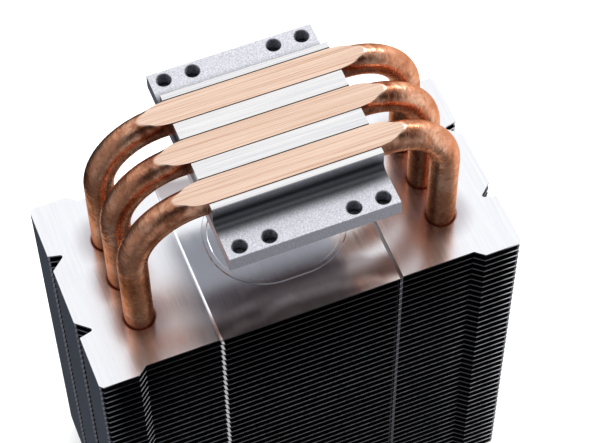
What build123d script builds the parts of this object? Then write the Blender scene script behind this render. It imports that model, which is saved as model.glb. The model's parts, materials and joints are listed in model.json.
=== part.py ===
from build123d import *

import os
from math import cos, radians, sin

# CPU tower cooler: a stepped aluminium base, three U-shaped copper heat pipes pressed into it,
# and a stack of thin aluminium fins on the pipe legs. It stands on the pipe tips, contact face up.
# Millimetres. The origin is on the floor under the middle of the base, X runs along the pipes
# in the base, Y across them, and Z points out of the contact face.

# Fin stack
FIN_WIDTH = 90.0  # along X
FIN_DEPTH = 45.0  # along Y, air blows this way
FIN_THICKNESS = 0.4
FIN_PITCH = 2.05
FIN_COUNT = 43
NECK = 35.5  # from the contact face to the nearest fin
CORNER_CHAMFER = 0.7

# Shallow recess of the two long fin edges between the fan lugs at the corners
RECESS_DEPTH = 1.6
RECESS_TOP = 74.0
RECESS_BOTTOM = 70.2

# V-notches for the fan clips, two on each short edge, mirrored about the middle
NOTCH_INNER = 6.5  # from the middle to the slanted side, at the edge
NOTCH_OUTER = 10.2  # from the middle to the steep side, at the edge
NOTCH_TIP = 9.4  # from the middle to the tip
NOTCH_DEPTH = 3.3
NOTCH_RADIUS = 0.45

# Folded details of a fin
SPACER_GAP = 0.05  # left between a collar or a side flange and the next fin
COLLAR_WALL = 0.25
COLLAR_ROUND = 0.3
FLANGE_CLEARANCE = 0.15  # side flange stops this far from a notch or corner
SINK_DEPTH = 0.5  # the middle panel lies this much lower than the two ends
SINK_X = 19.3  # middle of each slanted step between them
SINK_SLOPE = 0.65  # width of a step
EMBLEM_LENGTH = 29.6  # raised oval ring
EMBLEM_WIDTH = 25.6
EMBLEM_RADIUS = 12.2
EMBLEM_RIDGE = 1.2
EMBLEM_HEIGHT = 0.25
EMBLEM_TAPER = 35  # degrees

# Heat pipes
PIPE_RADIUS = 3.0
PIPE_WALL = 0.5
PIPE_PITCH = 9.85
PIPE_COUNT = 3
LEG_X = 32.5
BEND_RADIUS = 14.0
PIPE_AXIS_DEPTH = 2.35  # axis of the run in the base, below the contact face
CROWN_RADIUS = 5.9  # half height of the squeezed oval before its top is pressed flat
SQUEEZED_HALF = 16.0  # the pipe is fully squeezed this far out from the middle
ROUND_ANGLE = 12.0  # and round again this far into the bend
STRAIGHT_STEPS = 3
BEND_STEPS = 3
TIP_LENGTH = 4.0  # leg sticks out of the far fin by this much
TIP_TAPER = 2.6
TIP_RADIUS = 1.5
WICK_THICKNESS = 0.6

# Base
BASE_LENGTH = 34.5  # along X
BASE_WIDTH = 46.0  # along Y
CONTACT_WIDTH = 28.6
STEP_HEIGHT = 4.6
FLANGE_THICKNESS = 3.6
STEP_ROUND = 1.6
EDGE_BREAK = 0.15
SCREW_RADIUS = 1.5  # M3 tapped, blind
SCREW_DEPTH = 3.0
OUTER_SCREW_SPACING = 28.9
INNER_SCREW_SPACING = 17.0
SCREW_ROW_SPACING = 41.4

STACK_HEIGHT = (FIN_COUNT - 1) * FIN_PITCH + FIN_THICKNESS
CONTACT_Z = TIP_LENGTH + STACK_HEIGHT + NECK
FIRST_FIN_Z = CONTACT_Z - NECK  # upper face of the fin nearest the base
AXIS_Z = CONTACT_Z - PIPE_AXIS_DEPTH
BEND_X = LEG_X - BEND_RADIUS
BEND_Z = AXIS_Z - BEND_RADIUS
SPACER_HEIGHT = FIN_PITCH - FIN_THICKNESS - SPACER_GAP
STEP_Z = CONTACT_Z - STEP_HEIGHT
BASE_BOTTOM_Z = STEP_Z - FLANGE_THICKNESS
PIPE_ROWS = [PIPE_PITCH * (index - (PIPE_COUNT - 1) / 2) for index in range(PIPE_COUNT)]


def notch_outline(side, end):
    """V-notch in the short edge at x of sign side, in the half of the fin at y of sign end."""
    edge = side * FIN_WIDTH / 2
    with BuildLine() as line:
        Polyline(
            (edge + side, end * NOTCH_INNER),
            (edge, end * NOTCH_INNER),
            (edge - side * NOTCH_DEPTH, end * NOTCH_TIP),
            (edge, end * NOTCH_OUTER),
            (edge + side, end * NOTCH_OUTER),
            close=True,
        )
    return line.line


def recess_outline(end):
    """Shallow trapezium cut from the long edge at y of sign end."""
    edge = end * FIN_DEPTH / 2
    with BuildLine() as line:
        Polyline(
            (-RECESS_TOP / 2, edge),
            (RECESS_TOP / 2, edge),
            (RECESS_BOTTOM / 2, edge - end * RECESS_DEPTH),
            (-RECESS_BOTTOM / 2, edge - end * RECESS_DEPTH),
            close=True,
        )
    return line.line


with BuildSketch() as fin_blank:
    Rectangle(FIN_WIDTH, FIN_DEPTH)
    chamfer(fin_blank.vertices(), CORNER_CHAMFER)
    for end in (-1, 1):
        make_face(recess_outline(end).edges(), mode=Mode.SUBTRACT)
        for side in (-1, 1):
            make_face(notch_outline(side, end).edges(), mode=Mode.SUBTRACT)
    notch_tips = fin_blank.vertices().filter_by(
        lambda corner: abs(abs(corner.X) - FIN_WIDTH / 2 + NOTCH_DEPTH) < 0.01
    )
    fillet(notch_tips, NOTCH_RADIUS)
    with GridLocations(2 * LEG_X, PIPE_PITCH, 2, PIPE_COUNT):
        Circle(PIPE_RADIUS, mode=Mode.SUBTRACT)

# Straight stretches of a short fin edge that carry a folded side flange: (middle, length) along Y
corner_stretch = FIN_DEPTH / 2 - CORNER_CHAMFER - NOTCH_OUTER - 2 * FLANGE_CLEARANCE
corner_middle = (FIN_DEPTH / 2 - CORNER_CHAMFER + NOTCH_OUTER) / 2
flange_stretches = [
    (-corner_middle, corner_stretch),
    (0, 2 * (NOTCH_INNER - FLANGE_CLEARANCE)),
    (corner_middle, corner_stretch),
]


def sheet_profile(level):
    """Long section of a fin: two ends with their upper face at level, a sunk middle panel."""
    outer_x = SINK_X + SINK_SLOPE / 2
    inner_x = SINK_X - SINK_SLOPE / 2
    upper = [
        (-FIN_WIDTH / 2, level),
        (-outer_x, level),
        (-inner_x, level - SINK_DEPTH),
        (inner_x, level - SINK_DEPTH),
        (outer_x, level),
        (FIN_WIDTH / 2, level),
    ]
    lower = [(x, z - FIN_THICKNESS) for x, z in reversed(upper)]
    with BuildLine() as line:
        Polyline(*upper, *lower, close=True)
    return line.line


def make_fin(level, has_emblem):
    """One fin: sheet with a sunk middle panel, rounded pipe collars and folded side flanges."""
    underside = level - FIN_THICKNESS
    with BuildPart() as fin:
        with BuildSketch(Plane.XZ):
            make_face(sheet_profile(level).edges())
        extrude(amount=FIN_DEPTH / 2, both=True)
        with BuildSketch(Plane.XY.offset(underside - SINK_DEPTH)):
            add(fin_blank.sketch)
        extrude(amount=FIN_THICKNESS + SINK_DEPTH, mode=Mode.INTERSECT)
        hole_rims = fin.edges().filter_by(GeomType.CIRCLE).filter_by_position(
            Axis.Z, level - 0.01, level + 0.01
        )
        hole_rims = hole_rims.filter_by(lambda rim: rim.radius > PIPE_RADIUS - 0.1)
        fillet(hole_rims, COLLAR_ROUND)
        with BuildSketch(Plane.XY.offset(underside)):
            with GridLocations(2 * LEG_X, PIPE_PITCH, 2, PIPE_COUNT):
                Circle(PIPE_RADIUS + COLLAR_WALL)
                Circle(PIPE_RADIUS, mode=Mode.SUBTRACT)
            for side in (-1, 1):
                for middle, length in flange_stretches:
                    with Locations((side * (FIN_WIDTH - FIN_THICKNESS) / 2, middle)):
                        Rectangle(FIN_THICKNESS, length)
        extrude(amount=-SPACER_HEIGHT)
        if has_emblem:
            with BuildSketch(Plane.XY.offset(level - SINK_DEPTH)):
                RectangleRounded(EMBLEM_LENGTH, EMBLEM_WIDTH, EMBLEM_RADIUS)
                RectangleRounded(
                    EMBLEM_LENGTH - 2 * EMBLEM_RIDGE,
                    EMBLEM_WIDTH - 2 * EMBLEM_RIDGE,
                    EMBLEM_RADIUS - EMBLEM_RIDGE,
                    mode=Mode.SUBTRACT,
                )
            extrude(amount=EMBLEM_HEIGHT, taper=EMBLEM_TAPER)
    return fin.part


def bend_plane(side, row, angle):
    """Plane across the pipe, angle degrees into the bend at x of sign side."""
    return Plane(
        origin=(
            side * (BEND_X + BEND_RADIUS * sin(radians(angle))),
            row,
            BEND_Z + BEND_RADIUS * cos(radians(angle)),
        ),
        x_dir=(0, side, 0),
        z_dir=(side * cos(radians(angle)), 0, -sin(radians(angle))),
    )


def pipe_section(radius, crown):
    """Outline of the pipe: a half circle below and a half oval, crown high, above."""
    with BuildLine() as line:
        EllipticalCenterArc((0, 0), radius, crown, 0, arc_size=180)
        CenterArc((0, 0), radius, 180, 180)
    return line.line


def leg_profile(inset):
    """Half section of a leg from the end of the bend to its swaged tip, radius along X."""
    radius = PIPE_RADIUS - inset
    nose = TIP_RADIUS - inset / 2
    with BuildLine() as line:
        Line((0, BEND_Z), (radius, BEND_Z))
        Line((radius, BEND_Z), (radius, TIP_TAPER + nose))
        Line((radius, TIP_TAPER + nose), (nose, inset + nose))
        RadiusArc((nose, inset + nose), (0, inset), nose)
        Line((0, inset), (0, BEND_Z))
    return line.line


def run_plane(side, row, distance):
    """Plane across the straight run, distance out from the middle at x of sign side."""
    return Plane(origin=(side * distance, row, AXIS_Z), x_dir=(0, side, 0), z_dir=(side, 0, 0))


def make_pipe_solid(row, inset):
    """Solid U of the pipe at y = row, every face set in by inset, flat on the contact side."""
    radius = PIPE_RADIUS - inset
    squeezed_crown = CROWN_RADIUS - inset
    straight_part = BEND_X - SQUEEZED_HALF
    curved_part = BEND_RADIUS * radians(ROUND_ANGLE)
    with BuildPart() as pipe:
        with BuildSketch(run_plane(1, row, -SQUEEZED_HALF)):
            make_face(pipe_section(radius, squeezed_crown).edges())
        extrude(amount=2 * SQUEEZED_HALF)
        for side in (-1, 1):
            stations = []
            for step in range(STRAIGHT_STEPS):
                travel = straight_part * step / STRAIGHT_STEPS
                stations.append((run_plane(side, row, SQUEEZED_HALF + travel), travel))
            for step in range(BEND_STEPS + 1):
                share = step / BEND_STEPS
                travel = straight_part + curved_part * share
                stations.append((bend_plane(side, row, ROUND_ANGLE * share), travel))
            for plane, travel in stations:
                share = travel / (straight_part + curved_part)
                eased = share * share * (3 - 2 * share)
                crown = squeezed_crown + (radius - squeezed_crown) * eased
                with BuildSketch(plane):
                    make_face(pipe_section(radius, crown).edges())
            loft()
            with BuildSketch(bend_plane(side, row, 90)):
                Circle(radius)
            revolve(
                axis=Axis((side * BEND_X, row, BEND_Z), (0, -side, 0)),
                revolution_arc=90 - ROUND_ANGLE,
            )
            leg_plane = Plane(origin=(side * LEG_X, row, 0), x_dir=(1, 0, 0), z_dir=(0, -1, 0))
            with BuildSketch(leg_plane):
                make_face(leg_profile(inset).edges())
            revolve(axis=Axis((side * LEG_X, row, 0), (0, 0, 1)))
        split(bisect_by=Plane.XY.offset(CONTACT_Z - inset), keep=Keep.BOTTOM)
    return pipe.part


def is_step_corner(corner):
    """True at the foot of the contact block, where its wall meets the flange."""
    at_wall = abs(abs(corner.X) - CONTACT_WIDTH / 2) < 0.01
    return at_wall and abs(corner.Y - STEP_Z) < 0.01


def is_outer_corner(corner):
    """True at the outside corners of the base's section."""
    return not is_step_corner(corner)


os.makedirs("parts", exist_ok=True)

# Base: a flange with a raised contact block, grooved lengthwise for the pipes
with BuildPart() as base_block:
    with BuildSketch(Plane.YZ.offset(-BASE_LENGTH / 2)) as base_profile:
        with Locations((0, BASE_BOTTOM_Z)):
            Rectangle(BASE_WIDTH, FLANGE_THICKNESS, align=(Align.CENTER, Align.MIN))
            Rectangle(
                CONTACT_WIDTH, FLANGE_THICKNESS + STEP_HEIGHT, align=(Align.CENTER, Align.MIN)
            )
        chamfer(base_profile.vertices().filter_by(is_outer_corner), EDGE_BREAK)
        fillet(base_profile.vertices().filter_by(is_step_corner), STEP_ROUND)
        with Locations(*[(row, AXIS_Z) for row in PIPE_ROWS]):
            Circle(PIPE_RADIUS, mode=Mode.SUBTRACT)
            Rectangle(
                2 * PIPE_RADIUS,
                PIPE_AXIS_DEPTH,
                align=(Align.CENTER, Align.MIN),
                mode=Mode.SUBTRACT,
            )
    extrude(amount=BASE_LENGTH)
    with Locations((0, 0, STEP_Z)):
        for spacing in (OUTER_SCREW_SPACING, INNER_SCREW_SPACING):
            with GridLocations(spacing, SCREW_ROW_SPACING, 2, 2):
                CounterSinkHole(
                    SCREW_RADIUS, SCREW_RADIUS + EDGE_BREAK, SCREW_DEPTH, counter_sink_angle=90
                )
base_block.part.label = "base_block"
export_step(base_block.part, "parts/base_block.step")

# Heat pipes: copper tubes with a sintered wick on the wall, hollow in the middle
for number, row in enumerate(PIPE_ROWS, start=1):
    outside = make_pipe_solid(row, 0)
    cavity = make_pipe_solid(row, PIPE_WALL)
    vapour_space = make_pipe_solid(row, PIPE_WALL + WICK_THICKNESS)
    with BuildPart() as heat_pipe:
        add(outside)
        add(cavity, mode=Mode.SUBTRACT)
    heat_pipe.part.label = f"heat_pipe_{number}"
    export_step(heat_pipe.part, f"parts/heat_pipe_{number}.step")
    with BuildPart() as wick:
        add(cavity)
        add(vapour_space, mode=Mode.SUBTRACT)
    wick.part.label = f"wick_{number}"
    export_step(wick.part, f"parts/wick_{number}.step")

# Fins, counted from the base
for number in range(1, FIN_COUNT + 1):
    fin = make_fin(FIRST_FIN_Z - (number - 1) * FIN_PITCH, has_emblem=number == 1)
    fin.label = f"fin_{number:02d}"
    export_step(fin, f"parts/fin_{number:02d}.step")
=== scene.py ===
import json
from math import cos, pi, radians, sin

import bmesh
import bpy
from mathutils import Matrix, Vector


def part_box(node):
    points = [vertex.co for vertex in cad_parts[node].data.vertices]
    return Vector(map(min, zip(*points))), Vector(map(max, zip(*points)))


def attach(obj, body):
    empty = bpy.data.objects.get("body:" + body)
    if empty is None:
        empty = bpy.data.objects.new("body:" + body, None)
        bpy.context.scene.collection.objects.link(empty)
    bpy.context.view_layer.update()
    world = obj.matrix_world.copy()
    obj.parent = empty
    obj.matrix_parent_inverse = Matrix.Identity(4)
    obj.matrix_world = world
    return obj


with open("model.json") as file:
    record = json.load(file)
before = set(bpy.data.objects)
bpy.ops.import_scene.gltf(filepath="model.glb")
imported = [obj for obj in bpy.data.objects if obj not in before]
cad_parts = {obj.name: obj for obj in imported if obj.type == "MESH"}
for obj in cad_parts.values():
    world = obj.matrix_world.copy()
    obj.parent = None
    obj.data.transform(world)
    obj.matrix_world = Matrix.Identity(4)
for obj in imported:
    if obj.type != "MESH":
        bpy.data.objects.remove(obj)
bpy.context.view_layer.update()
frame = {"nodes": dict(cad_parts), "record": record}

nodes = frame["nodes"]
mounts = {mount["name"]: mount for mount in frame["record"]["mounts"]}

FIN_NODES = sorted(name for name in nodes if name.startswith("fin_"))
PIPE_NODES = sorted(name for name in nodes if name.startswith("heat_pipe_"))
WICK_NODES = sorted(name for name in nodes if name.startswith("wick_"))

contact_z = mounts["contact_face"]["pos_m"][2]
flange_z = mounts["screws_outer"]["pos_m"][2]
base_bottom_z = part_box("base_block")[0][2]
LEG_X = 0.0325  # axes of the pipe legs
PIPE_PITCH = 0.00985
FIRST_FIN_Z = contact_z - 0.0355  # upper face of the fin next to the base
FRONT_EDGE = 0.0209  # the long edges of a fin between its fan lugs
STEP_OUTER, STEP_INNER = 0.0196, 0.0190  # where the middle panel of a fin steps down
STEP_MIDDLE = 0.01935  # a step gets painted shade outside this
SHEET = 0.0004  # thickness of a fin
BAND_RISE = 9.0  # per metre, how strongly the painted reflection bands on the end fin curve
FAR_STEP_X = 0.018  # just inside the step on the +X side, where painted shade on that step and its lips begins
FLAT_TIP_X = 0.0220  # middle of the painted shade beside the tips of the pipe flats
BEND_START_Z, BEND_FULL_Z = 0.100, 0.108  # the pipes are wrinkled above this, more and more
FOOT_NEAR_Y, FOOT_FAR_Y = 0.0156, 0.0188  # painted shade in the corner at the foot of the contact block
BANDS_Y = 0.012  # the painted reflection bands under the base reach this far from its middle


# ---------------------------------------------------------------- materials

class Nodes:
    """Short ways to add shader nodes to one node tree."""

    def __init__(self, tree, coordinates):
        self.tree = tree
        self.place = self.add("ShaderNodeTexCoord").outputs[coordinates]

    def add(self, kind, **settings):
        node = self.tree.nodes.new(kind)
        for key, value in settings.items():
            setattr(node, key, value)
        return node

    def link(self, source, target):
        self.tree.links.new(source, target)

    def feed(self, socket, value):
        """Links a socket to value, or sets it when value is a plain number or colour."""
        if isinstance(value, bpy.types.NodeSocket):
            self.link(value, socket)
        elif isinstance(value, tuple) and socket.type == "RGBA":
            socket.default_value = (*value, 1.0)
        else:
            socket.default_value = value

    def stretched(self, scale):
        """Coordinates scaled along each axis, which draws a pattern out the other way."""
        mapping = self.add("ShaderNodeMapping")
        mapping.inputs["Scale"].default_value = scale
        self.link(self.place, mapping.inputs["Vector"])
        return mapping.outputs["Vector"]

    def noise(self, scale, detail=4.0, roughness=0.55, distortion=0.0):
        node = self.add("ShaderNodeTexNoise")
        self.link(self.stretched(scale), node.inputs["Vector"])
        node.inputs["Scale"].default_value = 1.0
        node.inputs["Detail"].default_value = detail
        node.inputs["Roughness"].default_value = roughness
        node.inputs["Distortion"].default_value = distortion
        return node.outputs["Fac"]

    def ramp(self, source, stops):
        node = self.add("ShaderNodeValToRGB")
        node.color_ramp.interpolation = "EASE"
        while len(node.color_ramp.elements) < len(stops):
            node.color_ramp.elements.new(0.5)
        for element, (position, colour) in zip(node.color_ramp.elements, stops):
            element.position = position
            element.color = (*colour, 1.0)
        self.link(source, node.inputs["Fac"])
        return node.outputs["Color"]

    def mix(self, share, first, second, blend="MIX"):
        node = self.add("ShaderNodeMix", data_type="RGBA", blend_type=blend)
        self.feed(node.inputs[0], share)
        self.feed(node.inputs[6], first)
        self.feed(node.inputs[7], second)
        return node.outputs[2]

    def math(self, operation, first, second=0.5):
        node = self.add("ShaderNodeMath", operation=operation)
        self.feed(node.inputs[0], first)
        self.feed(node.inputs[1], second)
        return node.outputs[0]

    def span(self, source, low, high, new_low=0.0, new_high=1.0, smooth=False):
        """Maps low..high to new_low..new_high and stops at both ends."""
        node = self.add("ShaderNodeMapRange")
        node.interpolation_type = "SMOOTHSTEP" if smooth else "LINEAR"
        self.link(source, node.inputs["Value"])
        node.inputs["From Min"].default_value = low
        node.inputs["From Max"].default_value = high
        node.inputs["To Min"].default_value = new_low
        node.inputs["To Max"].default_value = new_high
        return node.outputs["Result"]

    def axis(self, letter, vector=None):
        node = self.add("ShaderNodeSeparateXYZ")
        self.link(self.place if vector is None else vector, node.inputs[0])
        return node.outputs[letter]

    def out(self, letter):
        """Distance from the middle plane across one axis."""
        return self.math("ABSOLUTE", self.axis(letter))

    def facing(self, letter):
        """How far the surface faces along one axis, either way: 0 to 1."""
        normal = self.add("ShaderNodeNewGeometry").outputs["True Normal"]
        return self.math("ABSOLUTE", self.axis(letter, normal))

    def both(self, *masks):
        """Product of masks."""
        product = masks[0]
        for mask in masks[1:]:
            product = self.math("MULTIPLY", product, mask)
        return product


class Surface(Nodes):
    """Nodes of one material with its metal shader."""

    def __init__(self, name, metallic=1.0):
        self.material = bpy.data.materials.new(name)
        self.material.use_nodes = True
        super().__init__(self.material.node_tree, "Object")
        self.shader = self.tree.nodes["Principled BSDF"]
        self.shader.inputs["Metallic"].default_value = metallic

    def colour(self, value):
        self.feed(self.shader.inputs["Base Color"], value)

    def rough(self, value):
        self.feed(self.shader.inputs["Roughness"], value)

    def bump(self, layers):
        """Stacks bumps: each layer is (height, distance in metres, strength)."""
        normal = None
        for height, distance, strength in layers:
            node = self.add("ShaderNodeBump")
            node.inputs["Distance"].default_value = distance
            self.feed(node.inputs["Strength"], strength)
            self.link(height, node.inputs["Height"])
            if normal is not None:
                self.link(normal, node.inputs["Normal"])
            normal = node.outputs["Normal"]
        self.link(normal, self.shader.inputs["Normal"])


def end_sheet(s):
    """1 on the sunk middle of the fin next to the base, between the steps."""
    above = s.math("GREATER_THAN", s.axis("Z"), FIRST_FIN_Z - 0.0007)
    below = s.math("LESS_THAN", s.axis("Z"), FIRST_FIN_Z - 0.0001)
    return s.both(above, below)


def painted_reflection_bands(s, haze):
    """Painted reflection: soft dark and light bands along the middle panel, which rise towards its
    ends.
    """
    rise = s.math("MULTIPLY", s.math("POWER", s.out("X"), 2.0), -BAND_RISE)
    wander = s.span(haze, 0.3, 0.7, -0.0012, 0.0012)
    across = s.math("ADD", s.math("ADD", s.out("Y"), rise), wander)
    return s.ramp(s.span(across, 0.004, 0.022), [
        (0.00, (0.95, 0.97, 1.00)),
        (0.36, (0.90, 0.92, 0.96)),
        (0.50, (0.45, 0.40, 0.42)),
        (0.66, (0.38, 0.34, 0.35)),
        (0.78, (1.00, 0.98, 0.98)),
        (0.86, (0.60, 0.56, 0.57)),
        (0.96, (0.85, 0.82, 0.82)),
    ])


def distance_from_leg(s):
    """Distance from the axis of the nearest pipe leg."""
    along = s.math("SUBTRACT", s.out("X"), LEG_X)
    row = s.math("ROUND", s.math("DIVIDE", s.axis("Y"), PIPE_PITCH))
    row = s.math("MULTIPLY", row, PIPE_PITCH)
    row = s.math("MAXIMUM", s.math("MINIMUM", row, PIPE_PITCH), -PIPE_PITCH)
    across = s.math("SUBTRACT", s.axis("Y"), row)
    squares = s.math("ADD", s.math("POWER", along, 2.0), s.math("POWER", across, 2.0))
    return s.math("SQRT", squares)


def fin_face(s, grain, streaks, haze):
    """Colour of the rolled faces of a fin."""
    out = s.out("X")
    tone = s.ramp(grain, [(0.32, (0.875, 0.875, 0.885)), (0.68, (0.925, 0.925, 0.93))])
    tone = s.mix(s.span(haze, 0.50, 0.72, 0.0, 0.25), tone, (0.82, 0.79, 0.81))
    tone = s.mix(s.span(streaks, 0.56, 0.70, 0.0, 0.12), tone, (0.72, 0.73, 0.76))
    # a darker, purple-grey tone round the pipes, and a dark ring where they go in
    from_leg = distance_from_leg(s)
    wobble = s.math("ADD", from_leg, s.span(haze, 0.3, 0.7, -0.0006, 0.0006))
    tint = s.span(wobble, 0.0030, 0.0080, 0.55, 0.0, smooth=True)
    tone = s.mix(tint, tone, (0.27, 0.21, 0.23))
    tone = s.mix(s.span(from_leg, 0.0032, 0.0036, 0.90, 0.0), tone, (0.20, 0.045, 0.022))
    # the two ends; the middle panel of the end fin with a painted reflection of bands; painted shade
    # on the steps and on the slopes of the end fin's oval ring; the step on the +X side has darker
    # painted shade than the other, as it is in the reference view
    tone = s.mix(fin_ends(s), tone, (0.96, 0.97, 1.0), blend="MULTIPLY")
    # painted reflection on the middle panel of the end fin
    tone = s.mix(s.both(end_sheet(s), 0.9), tone, painted_reflection_bands(s, haze))
    # painted shade on the outer half of the steps, darker still on the +X side
    step = s.span(s.facing("X"), 0.3, 0.5)
    outer_half = s.math("GREATER_THAN", out, STEP_MIDDLE)
    tone = s.mix(s.both(step, outer_half, 0.7), tone, (0.30, 0.30, 0.32))
    painted_shade_side = s.math("GREATER_THAN", s.axis("X"), FAR_STEP_X)
    tone = s.mix(s.both(step, painted_shade_side, 0.85), tone, (0.13, 0.11, 0.115))
    # painted shade on the slopes of the oval ring
    slanted = s.both(s.span(s.facing("Z"), 0.66, 0.70, 1.0, 0.0), s.span(s.facing("Z"), 0.40, 0.45))
    tone = s.mix(s.both(slanted, end_sheet(s), 0.8), tone, (0.22, 0.22, 0.24))
    # painted shade in the gaps: the fins behind the end fin are darker
    inner = s.math("LESS_THAN", s.axis("Z"), FIRST_FIN_Z - 0.0008)
    inner = s.both(inner, s.span(s.facing("Z"), 0.6, 0.8, 0.0, 0.85))
    return s.mix(inner, tone, (0.16, 0.165, 0.18))


def fin_edge(s, sheared):
    """Colour of the sheared edges: rough and painted dark as shade, with more painted shade near the
    base and a painted highlight at the corners.
    """
    # the edges are rough, and painted dark as shade
    dull = s.ramp(sheared, [(0.35, (0.12, 0.123, 0.13)), (0.65, (0.34, 0.345, 0.36))])
    # painted shade: the edges darken towards the base
    base_shade = s.span(s.axis("Z"), 0.052, FIRST_FIN_Z, 0.0, 0.88, smooth=True)
    dull = s.mix(base_shade, dull, (0.010, 0.010, 0.012))
    # painted highlight: the edges brighten towards the corners
    corner = s.span(s.out("X"), 0.0405, 0.0448, smooth=True)
    return s.mix(corner, dull, (0.85, 0.85, 0.86))


def painted_shade_lips(s):
    """1 on the sheared lips of the steps on the +X side, which get painted shade as they are dim in
    the reference view.
    """
    proud = s.math("GREATER_THAN", s.out("Y"), FRONT_EDGE + 0.00004)
    painted_shade_side = s.math("GREATER_THAN", s.axis("X"), FAR_STEP_X)
    return s.both(proud, painted_shade_side, s.math("LESS_THAN", s.out("X"), 0.021))


def fin_ends(s):
    """1 on the ends of a fin, outside the steps."""
    return s.span(s.out("X"), 0.0194, 0.0200)


def fin_aluminium():
    """Bright rolled sheet: faint grain along the air flow, a darker purple-grey tone round the pipes,
    rough edges; painted shade on edges, steps, lips and gaps, painted highlights at the edge corners
    and a painted reflection on the end fin.
    """
    s = Surface("fin_aluminium")
    grain = s.noise((2400, 70, 400), detail=5)
    streaks = s.noise((700, 14, 200), detail=4, roughness=0.6)
    haze = s.noise((60, 22, 40), detail=4, distortion=0.6)
    sheared = s.noise((900, 900, 3000), detail=3)
    edge = s.span(s.facing("Y"), 0.85, 0.97)
    tone = s.mix(edge, fin_face(s, grain, streaks, haze), fin_edge(s, sheared))
    # painted shade on the lips on the +X side
    s.colour(s.mix(painted_shade_lips(s), tone, (0.10, 0.10, 0.11)))
    polish = s.math("ADD", s.span(grain, 0.3, 0.7, 0.10, 0.15), s.span(haze, 0.4, 0.7, 0.0, 0.06))
    polish = s.math("ADD", polish, s.both(fin_ends(s), 0.06))
    s.rough(s.mix(edge, polish, (0.40, 0.40, 0.40)))
    past_panel = s.math("MAXIMUM", s.math("SUBTRACT", s.out("X"), 0.030), 0.0)
    rounded = s.math("MULTIPLY", s.math("POWER", past_panel, 2.0), -32.0)
    s.bump([
        (haze, 0.00025, 0.10),
        (streaks, 0.00003, 0.15),
        (grain, 0.00002, 0.20),
        (rounded, 1.0, edge),
    ])
    return s.material


def base_aluminium():
    """Machined block: blasted grain on the flanges, a finely brushed contact face; painted reflection
    bands underneath and painted shade at the foot of the contact block.
    """
    s = Surface("base_aluminium")
    speckle = s.noise((3000, 3000, 3000), detail=3, roughness=0.7)
    blotch = s.noise((420, 420, 420), detail=4)
    brushed = s.noise((45, 2600, 45), detail=4, roughness=0.65)
    fine_lines = s.noise((24, 7000, 24), detail=2, roughness=0.6)
    on_face = s.span(s.axis("Z"), contact_z - 0.0004, contact_z - 0.0001)
    grainy = s.ramp(speckle, [
        (0.34, (0.50, 0.51, 0.56)),
        (0.50, (0.70, 0.705, 0.76)),
        (0.66, (0.90, 0.90, 0.94)),
    ])
    grainy = s.mix(s.span(blotch, 0.35, 0.65, 0.0, 0.25), grainy, (0.58, 0.59, 0.65))
    lined = s.ramp(brushed, [
        (0.36, (0.71, 0.72, 0.76)),
        (0.47, (0.79, 0.785, 0.79)),
        (0.62, (0.86, 0.855, 0.86)),
    ])
    off_underside = s.span(s.axis("Z"), base_bottom_z + 0.00002, base_bottom_z + 0.0002)
    # painted reflection: dark and light bands across the underside
    band_across = s.math("ADD", s.axis("Y"), s.span(blotch, 0.3, 0.7, -0.0004, 0.0004))
    underside_reflection = s.ramp(s.span(band_across, -BANDS_Y, BANDS_Y), [
        (0.30, (0.11, 0.09, 0.09)),
        (0.44, (0.12, 0.10, 0.10)),
        (0.50, (0.90, 0.88, 0.90)),
        (0.58, (0.10, 0.08, 0.08)),
        (0.72, (0.14, 0.11, 0.12)),
        (0.86, (0.75, 0.76, 0.82)),
    ])
    body = s.mix(off_underside, underside_reflection, grainy)
    # painted shade in the corner at the foot of the contact block
    foot = s.both(
        s.span(s.out("Y"), FOOT_NEAR_Y, FOOT_FAR_Y, 0.90, 0.0, smooth=True),
        s.span(s.axis("Z"), flange_z + 0.0018, contact_z - 0.0004, 1.0, 0.0),
        s.span(s.axis("Z"), flange_z - 0.0006, flange_z - 0.0002),
    )
    body = s.mix(foot, body, (0.045, 0.047, 0.055))
    s.colour(s.mix(on_face, body, lined))
    rough_grain = s.span(speckle, 0.3, 0.7, 0.36, 0.50)
    rough_lines = s.span(brushed, 0.3, 0.7, 0.20, 0.32)
    s.rough(s.mix(on_face, rough_grain, rough_lines))
    height = s.mix(on_face, speckle, s.mix(0.5, brushed, fine_lines))
    s.bump([(blotch, 0.00005, 0.2), (height, 0.00004, 0.4)])
    return s.material


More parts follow.
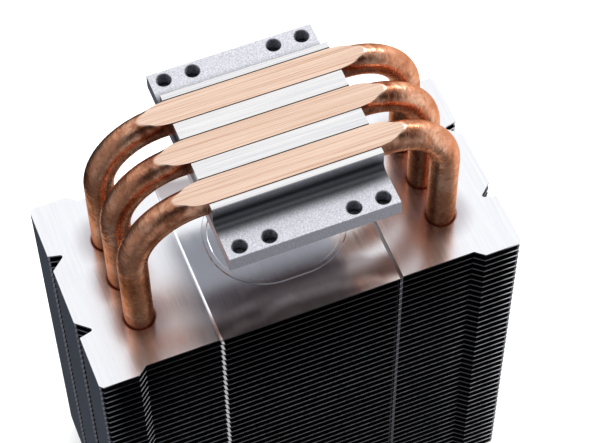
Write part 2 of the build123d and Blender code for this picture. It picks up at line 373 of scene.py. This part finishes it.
def copper():
    """Bare copper tube: brown patina in patches, rub marks, wrinkled bends, brushed flats, and
    painted shade on the flanks beside the tips of the flats.
    """
    s = Surface("copper")
    s.shader.inputs["Specular Tint"].default_value = (0.92, 0.62, 0.47, 1.0)
    patches = s.noise((150, 150, 110), detail=6, roughness=0.62, distortion=0.4)
    mottle = s.noise((900, 900, 700), detail=4, roughness=0.6)
    wrinkles = s.noise((620, 300, 620), detail=3, roughness=0.5, distortion=0.8)
    brushed = s.noise((30, 3300, 30), detail=4, roughness=0.6)
    scratches = s.noise((22, 3400, 22), detail=2, roughness=0.5)
    on_face = s.span(s.axis("Z"), contact_z - 0.0002, contact_z - 0.00003)
    tube = s.ramp(patches, [
        (0.34, (0.36, 0.135, 0.070)),
        (0.48, (0.72, 0.325, 0.185)),
        (0.64, (0.93, 0.53, 0.35)),
    ])
    tube = s.mix(s.span(mottle, 0.48, 0.72, 0.0, 0.5), tube, (0.30, 0.105, 0.05))
    from_tip = s.math("ABSOLUTE", s.math("SUBTRACT", s.out("X"), FLAT_TIP_X))
    # painted shade on the pipe flanks beside the tips of the flats
    tip_shade = s.both(
        s.span(from_tip, 0.0030, 0.0068, 1.0, 0.0, smooth=True),
        s.span(s.axis("Z"), contact_z - 0.0050, contact_z - 0.0016, smooth=True),
        s.span(patches, 0.40, 0.60, 1.0, 0.35),
    )
    tube = s.mix(tip_shade, tube, (0.17, 0.055, 0.030))
    face = s.ramp(brushed, [
        (0.36, (0.68, 0.44, 0.32)),
        (0.46, (0.79, 0.565, 0.44)),
        (0.62, (0.87, 0.66, 0.53)),
    ])
    face = s.mix(s.span(scratches, 0.60, 0.68, 0.0, 0.45), face, (0.56, 0.33, 0.22))
    s.colour(s.mix(on_face, tube, face))
    rough_patches = s.span(patches, 0.3, 0.7, 0.26, 0.17)
    rough_tube = s.math("ADD", rough_patches, s.span(mottle, 0.3, 0.7, 0.0, 0.10))
    rough_face = s.span(brushed, 0.3, 0.7, 0.24, 0.34)
    s.rough(s.mix(on_face, rough_tube, rough_face))
    bent = s.span(s.axis("Z"), BEND_START_Z, BEND_FULL_Z)
    off_face = s.math("SUBTRACT", 1.0, on_face)
    fine_height = s.mix(on_face, mottle, brushed)
    s.bump([
        (patches, 0.0004, 0.20),
        (wrinkles, 0.0005, s.both(bent, off_face, 0.35)),
        (fine_height, 0.00006, 0.45),
    ])
    return s.material


def sintered_copper():
    """Porous sintered powder, matt and dark."""
    s = Surface("sintered_copper")
    grains = s.noise((9000, 9000, 9000), detail=3, roughness=0.7)
    s.colour(s.ramp(grains, [(0.3, (0.30, 0.13, 0.08)), (0.7, (0.62, 0.34, 0.24))]))
    s.rough(s.span(grains, 0.3, 0.7, 0.6, 0.9))
    s.bump([(grains, 0.0001, 0.8)])
    return s.material


def thread_in_painted_shade():
    """Tapped aluminium, painted dark as shade down in the hole."""
    s = Surface("thread_in_painted_shade")
    torn = s.noise((2600, 2600, 5200), detail=4, roughness=0.65)
    s.colour(s.ramp(torn, [(0.3, (0.07, 0.075, 0.09)), (0.7, (0.26, 0.27, 0.31))]))
    s.rough(s.span(torn, 0.3, 0.7, 0.30, 0.50))
    s.bump([(torn, 0.00008, 0.6)])
    return s.material


def floor_paper():
    """Plain pale studio paper."""
    s = Surface("floor_paper", metallic=0.0)
    fibre = s.noise((400, 400, 400), detail=3)
    s.colour(s.ramp(fibre, [(0.3, (0.92, 0.92, 0.92)), (0.7, (0.94, 0.94, 0.94))]))
    s.rough(0.9)
    s.bump([(fibre, 0.0001, 0.05)])
    return s.material


def give(names, material):
    """Puts the material on every slot of the CAD nodes."""
    for name in names:
        slots = nodes[name].material_slots
        if not slots:
            nodes[name].data.materials.append(material)
        for slot in nodes[name].material_slots:
            slot.material = material


give(FIN_NODES, fin_aluminium())
give(["base_block"], base_aluminium())
give(PIPE_NODES, copper())
give(WICK_NODES, sintered_copper())


# ---------------------------------------------------------------- threads

THREAD_PITCH = 0.0005  # M3
THREAD_CREST = 0.00126  # radius of the crests
THREAD_ROOT = 0.00148
THREAD_DEPTH = 0.0028
THREAD_SEGMENTS = 40
HALF_MM = 0.0005


def make_threads():
    """A spiral ridge and a dark floor in every tapped hole, both in a dark material that paints
    shade; the floor is a disc standing in for the shade deeper in the hole.
    """
    centres = []
    for name in ("screws_outer", "screws_inner"):
        dims = mounts[name]["dims"]
        for x in (-HALF_MM, HALF_MM):
            for y in (-HALF_MM, HALF_MM):
                centres.append((x * dims["spacing_x_mm"], y * dims["spacing_y_mm"]))
    edit = bmesh.new()
    half_pitches = int(2 * THREAD_DEPTH / THREAD_PITCH)
    for x, y in centres:
        rings = []
        for step in range(half_pitches * THREAD_SEGMENTS // 2 + 1):
            turn = 2 * pi * step / THREAD_SEGMENTS
            top = flange_z - 0.0001 - THREAD_PITCH * step / THREAD_SEGMENTS
            if top - THREAD_PITCH < flange_z - THREAD_DEPTH:
                break
            profile = [
                (THREAD_ROOT, 0.0),
                (THREAD_CREST, 0.4 * THREAD_PITCH),
                (THREAD_CREST, 0.5 * THREAD_PITCH),
                (THREAD_ROOT, 0.9 * THREAD_PITCH),
            ]
            rings.append([
                edit.verts.new((x + radius * cos(turn), y + radius * sin(turn), top - drop))
                for radius, drop in profile
            ])
        for first, second in zip(rings, rings[1:]):
            for k in range(3):
                edit.faces.new((first[k], second[k], second[k + 1], first[k + 1]))
        # a dark disc closes the hole below the thread: a sheet standing in for shade
        rim = [
            edit.verts.new((
                x + THREAD_ROOT * cos(2 * pi * k / THREAD_SEGMENTS),
                y + THREAD_ROOT * sin(2 * pi * k / THREAD_SEGMENTS),
                flange_z - THREAD_DEPTH,
            ))
            for k in range(THREAD_SEGMENTS)
        ]
        middle = edit.verts.new((x, y, flange_z - THREAD_DEPTH - 0.0001))
        for k in range(THREAD_SEGMENTS):
            edit.faces.new((rim[k], rim[(k + 1) % THREAD_SEGMENTS], middle))
    bmesh.ops.recalc_face_normals(edit, faces=edit.faces)
    mesh = bpy.data.meshes.new("threads")
    edit.to_mesh(mesh)
    edit.free()
    threads = bpy.data.objects.new("threads", mesh)
    bpy.context.scene.collection.objects.link(threads)
    mesh.materials.append(thread_in_painted_shade())
    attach(threads, "root")


make_threads()


# ---------------------------------------------------------------- fold burrs

STEP_DROP = 0.0004
BURR_REACH = 0.00055
BURR_DROP = 0.0010
BURR_LEAN = 0.00025


def make_burrs():
    """The sheared lip that every fin has where its edge crosses a step, on both long edges."""
    edit = bmesh.new()
    for name in FIN_NODES:
        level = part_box(name)[1][2] - 0.00003
        for side in (-1, 1):
            for end in (-1, 1):
                wall, lip = end * (FRONT_EDGE - 0.00002), end * (FRONT_EDGE + BURR_REACH)
                outer, inner = side * STEP_OUTER, side * STEP_INNER
                top = [
                    edit.verts.new((outer, wall, level)),
                    edit.verts.new((inner, wall, level - STEP_DROP)),
                ]
                low = [
                    edit.verts.new((inner - side * BURR_LEAN, lip, level - STEP_DROP - BURR_DROP)),
                    edit.verts.new((outer - side * BURR_LEAN, lip, level - BURR_DROP)),
                ]
                back = [
                    edit.verts.new((inner, wall, level - STEP_DROP - SHEET)),
                    edit.verts.new((outer, wall, level - SHEET)),
                ]
                edit.faces.new(top + low)
                edit.faces.new([low[1], low[0], back[0], back[1]])
                edit.faces.new([top[1], back[0], low[0]])
                edit.faces.new([top[0], low[1], back[1]])
    bmesh.ops.recalc_face_normals(edit, faces=edit.faces)
    mesh = bpy.data.meshes.new("fold_burrs")
    edit.to_mesh(mesh)
    edit.free()
    burrs = bpy.data.objects.new("fold_burrs", mesh)
    bpy.context.scene.collection.objects.link(burrs)
    mesh.materials.append(nodes[FIN_NODES[0]].material_slots[0].material)
    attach(burrs, "root")


make_burrs()


# ---------------------------------------------------------------- stage, light, camera

def make_floor():
    mesh = bpy.data.meshes.new("floor")
    edit = bmesh.new()
    bmesh.ops.create_grid(edit, x_segments=2, y_segments=2, size=3.0)
    edit.to_mesh(mesh)
    edit.free()
    floor = bpy.data.objects.new("floor", mesh)
    bpy.context.scene.collection.objects.link(floor)
    floor.data.materials.append(floor_paper())
    floor.visible_glossy = False


def make_world():
    """Studio surround: one big soft light above and behind, dark in front, a white card low right."""
    world = bpy.data.worlds.new("studio")
    bpy.context.scene.world = world
    world.use_nodes = True
    n = Nodes(world.node_tree, "Generated")

    def lobe(direction, low, high):
        dot = n.add("ShaderNodeVectorMath", operation="DOT_PRODUCT")
        n.link(n.place, dot.inputs[0])
        dot.inputs[1].default_value = Vector(direction).normalized()
        return n.span(dot.outputs["Value"], low, high, smooth=True)

    glow = (0.036, 0.036, 0.039)
    for direction, low, high, colour in (
        ((0.10, 0.61, 0.785), 0.28, 0.84, (1.03, 1.03, 1.03)),
        ((0.93, 0.20, -0.30), 0.25, 0.90, (1.0, 1.0, 1.02)),
        ((0.10, -0.70, -0.70), 0.20, 0.90, (0.14, 0.14, 0.15)),
        ((-0.50, 0.40, -0.77), 0.40, 0.95, (0.015, 0.025, 0.040)),
        ((0.0, -1.0, 0.12), 0.66, 1.00, (0.46, 0.46, 0.48)),
        ((-1.0, 0.0, 0.10), 0.55, 1.00, (0.35, 0.35, 0.37)),
    ):
        part = n.mix(lobe(direction, low, high), (0.0, 0.0, 0.0), colour)
        glow = n.mix(1.0, glow, part, blend="ADD")
    n.link(glow, n.tree.nodes["Background"].inputs["Color"])


def add_light(name, at, aim, size, power, seen_by_metal=True):
    light = bpy.data.lights.new(name, "AREA")
    light.shape = "RECTANGLE"
    light.size, light.size_y = size
    light.energy = power
    lamp = bpy.data.objects.new(name, light)
    bpy.context.scene.collection.objects.link(lamp)
    lamp.visible_glossy = seen_by_metal
    lamp.location = at
    lamp.rotation_euler = (Vector(aim) - Vector(at)).to_track_quat("-Z", "Y").to_euler()


# Camera: where the reference view was taken from
VIEW_AZIMUTH = radians(20.94)
VIEW_ELEVATION = radians(56.82)
VIEW_ROLL = radians(-0.90)
VIEW_DISTANCE = 0.4358
VIEW_AIM = Vector((0.0, 0.0, 0.095))
VIEW_SIDE = -0.0043
VIEW_UP = 0.00157
FOCAL_TO_WIDTH = 2164.13 / 590


def make_camera():
    data = bpy.data.cameras.new("camera")
    data.sensor_width = 36.0
    data.lens = data.sensor_width * FOCAL_TO_WIDTH
    data.clip_start, data.clip_end = 0.01, 20.0
    camera = bpy.data.objects.new("camera", data)
    bpy.context.scene.collection.objects.link(camera)
    forward = Vector((
        sin(VIEW_AZIMUTH) * cos(VIEW_ELEVATION),
        cos(VIEW_AZIMUTH) * cos(VIEW_ELEVATION),
        -sin(VIEW_ELEVATION),
    ))
    level_right = forward.cross(Vector((0, 0, 1))).normalized()
    level_up = level_right.cross(forward)
    right = level_right * cos(VIEW_ROLL) + level_up * sin(VIEW_ROLL)
    up = level_up * cos(VIEW_ROLL) - level_right * sin(VIEW_ROLL)
    eye = VIEW_AIM - forward * VIEW_DISTANCE - right * VIEW_SIDE - up * VIEW_UP
    turn = Matrix((right, up, -forward)).transposed()
    camera.matrix_world = Matrix.Translation(eye) @ turn.to_4x4()
    bpy.context.scene.camera = camera


make_floor()
make_world()
make_camera()
add_light("floor_fill", (0.0, 0.3, 2.0), (0, 0.1, 0.0), (2.5, 2.5), 60, seen_by_metal=False)
add_light("key", (0.76, 0.40, 0.61), (0, 0, 0.11), (0.28, 0.28), 2.4)
bpy.context.scene.view_settings.view_transform = "Standard"
